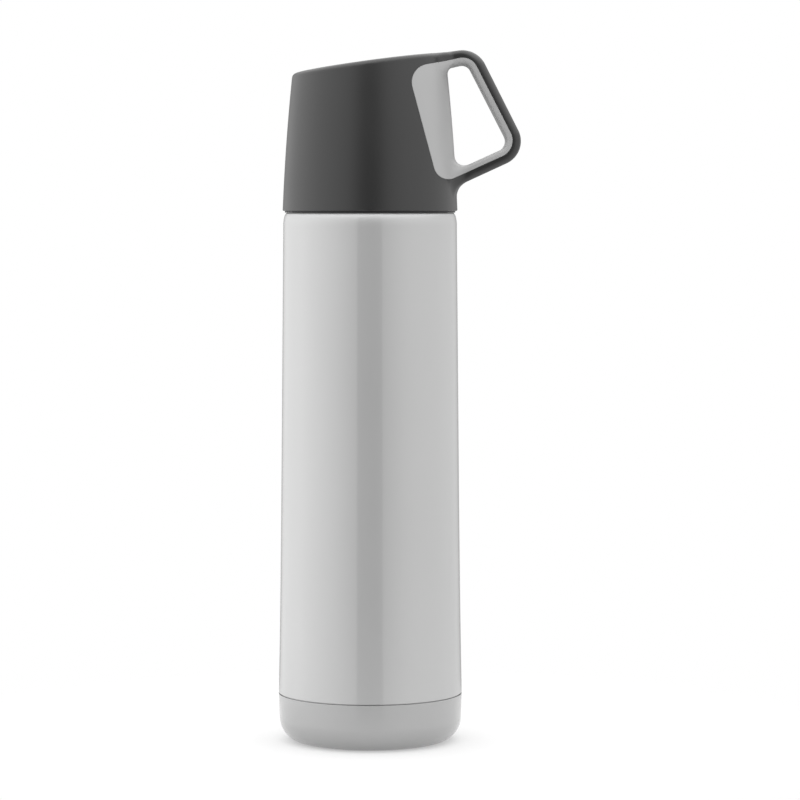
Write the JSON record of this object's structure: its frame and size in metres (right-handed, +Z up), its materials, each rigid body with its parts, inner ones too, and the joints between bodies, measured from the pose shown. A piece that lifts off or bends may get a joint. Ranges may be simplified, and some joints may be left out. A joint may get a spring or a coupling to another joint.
{
  "type": "vacuum flask",
  "caption": "Slim tapered stainless vacuum flask with a slanted mug lid that has a loop handle, over a push-button pouring stopper.",
  "frame": {"origin": "centre of the standing ring under the base, on the surface it stands on", "axes": "+Z up along the flask's axis, +X towards the mug's handle"},
  "size_m": [0.0921, 0.0702, 0.2626],
  "materials": {
    "steel_body": "satin, lightly polished stainless steel",
    "steel_base": "satin stainless steel, drawn",
    "steel_plain": "bare stainless steel",
    "steel_inner": "fine brushed stainless steel",
    "spring_steel": "bright spring wire",
    "solder": "dull seal bead",
    "foil": "bright metal foil",
    "getter": "dark sintered metal",
    "black_plastic": "fine matt moulded polypropylene",
    "stopper_plastic": "satin moulded polypropylene",
    "button_plastic": "satin moulded polypropylene",
    "dark_plastic": "satin dark grey moulded plastic",
    "light_plastic": "satin light grey moulded plastic",
    "dark_silicone": "matt silicone",
    "clear_silicone": "milky silicone",
    "foam": "rigid insulating foam"
  },
  "bodies": {
    "flask": {"outer_shell": "steel_body", "base_cup": "steel_base", "base_disc": "steel_plain", "seal_bead": "solder", "liner": "steel_inner", "liner_base": "steel_inner", "reflector_foil": "foil", "getter_pill": "getter", "getter_clip": "steel_plain", "neck_collar": "black_plastic"},
    "gasket": {"stopper_seal": "clear_silicone"},
    "stopper": {"stopper_body": "black_plastic", "stopper_base": "black_plastic", "stopper_foam": "foam", "stopper_top": "stopper_plastic", "stem_seal": "dark_silicone", "button_spring": "spring_steel"},
    "button": {"push_button": "button_plastic", "valve_stem": "steel_plain", "valve_disc": "black_plastic", "valve_seal": "clear_silicone"},
    "lid_ring": {"cup_seal": "dark_silicone"},
    "mug": {"cup_liner": "light_plastic", "cup_shell": "dark_plastic"}
  },
  "joints": [
    {"name": "stopper_lift", "type": "slide", "parent": "flask", "child": "gasket", "axis": [0, 0, 1], "range_m": [0, 0.06]},
    {"name": "stopper_turn", "type": "hinge", "parent": "gasket", "child": "stopper", "pos_m": [0, 0, 0.2171], "axis": [0, 0, 1], "range_deg": [0, 450]},
    {"name": "button_press", "type": "slide", "parent": "stopper", "child": "button", "axis": [0, 0, -1], "range_m": [0, 0.0035], "stiffness_N_per_m": 900, "springref_m": -0.004, "deforming": ["button_spring"]},
    {"name": "cup_lift", "type": "slide", "parent": "gasket", "child": "lid_ring", "axis": [0, 0, 1], "range_m": [0, 0.09]},
    {"name": "cup_turn", "type": "hinge", "parent": "lid_ring", "child": "mug", "pos_m": [0, 0, 0.2022], "axis": [0, 0, 1], "range_deg": [0, 450]}
  ]
}
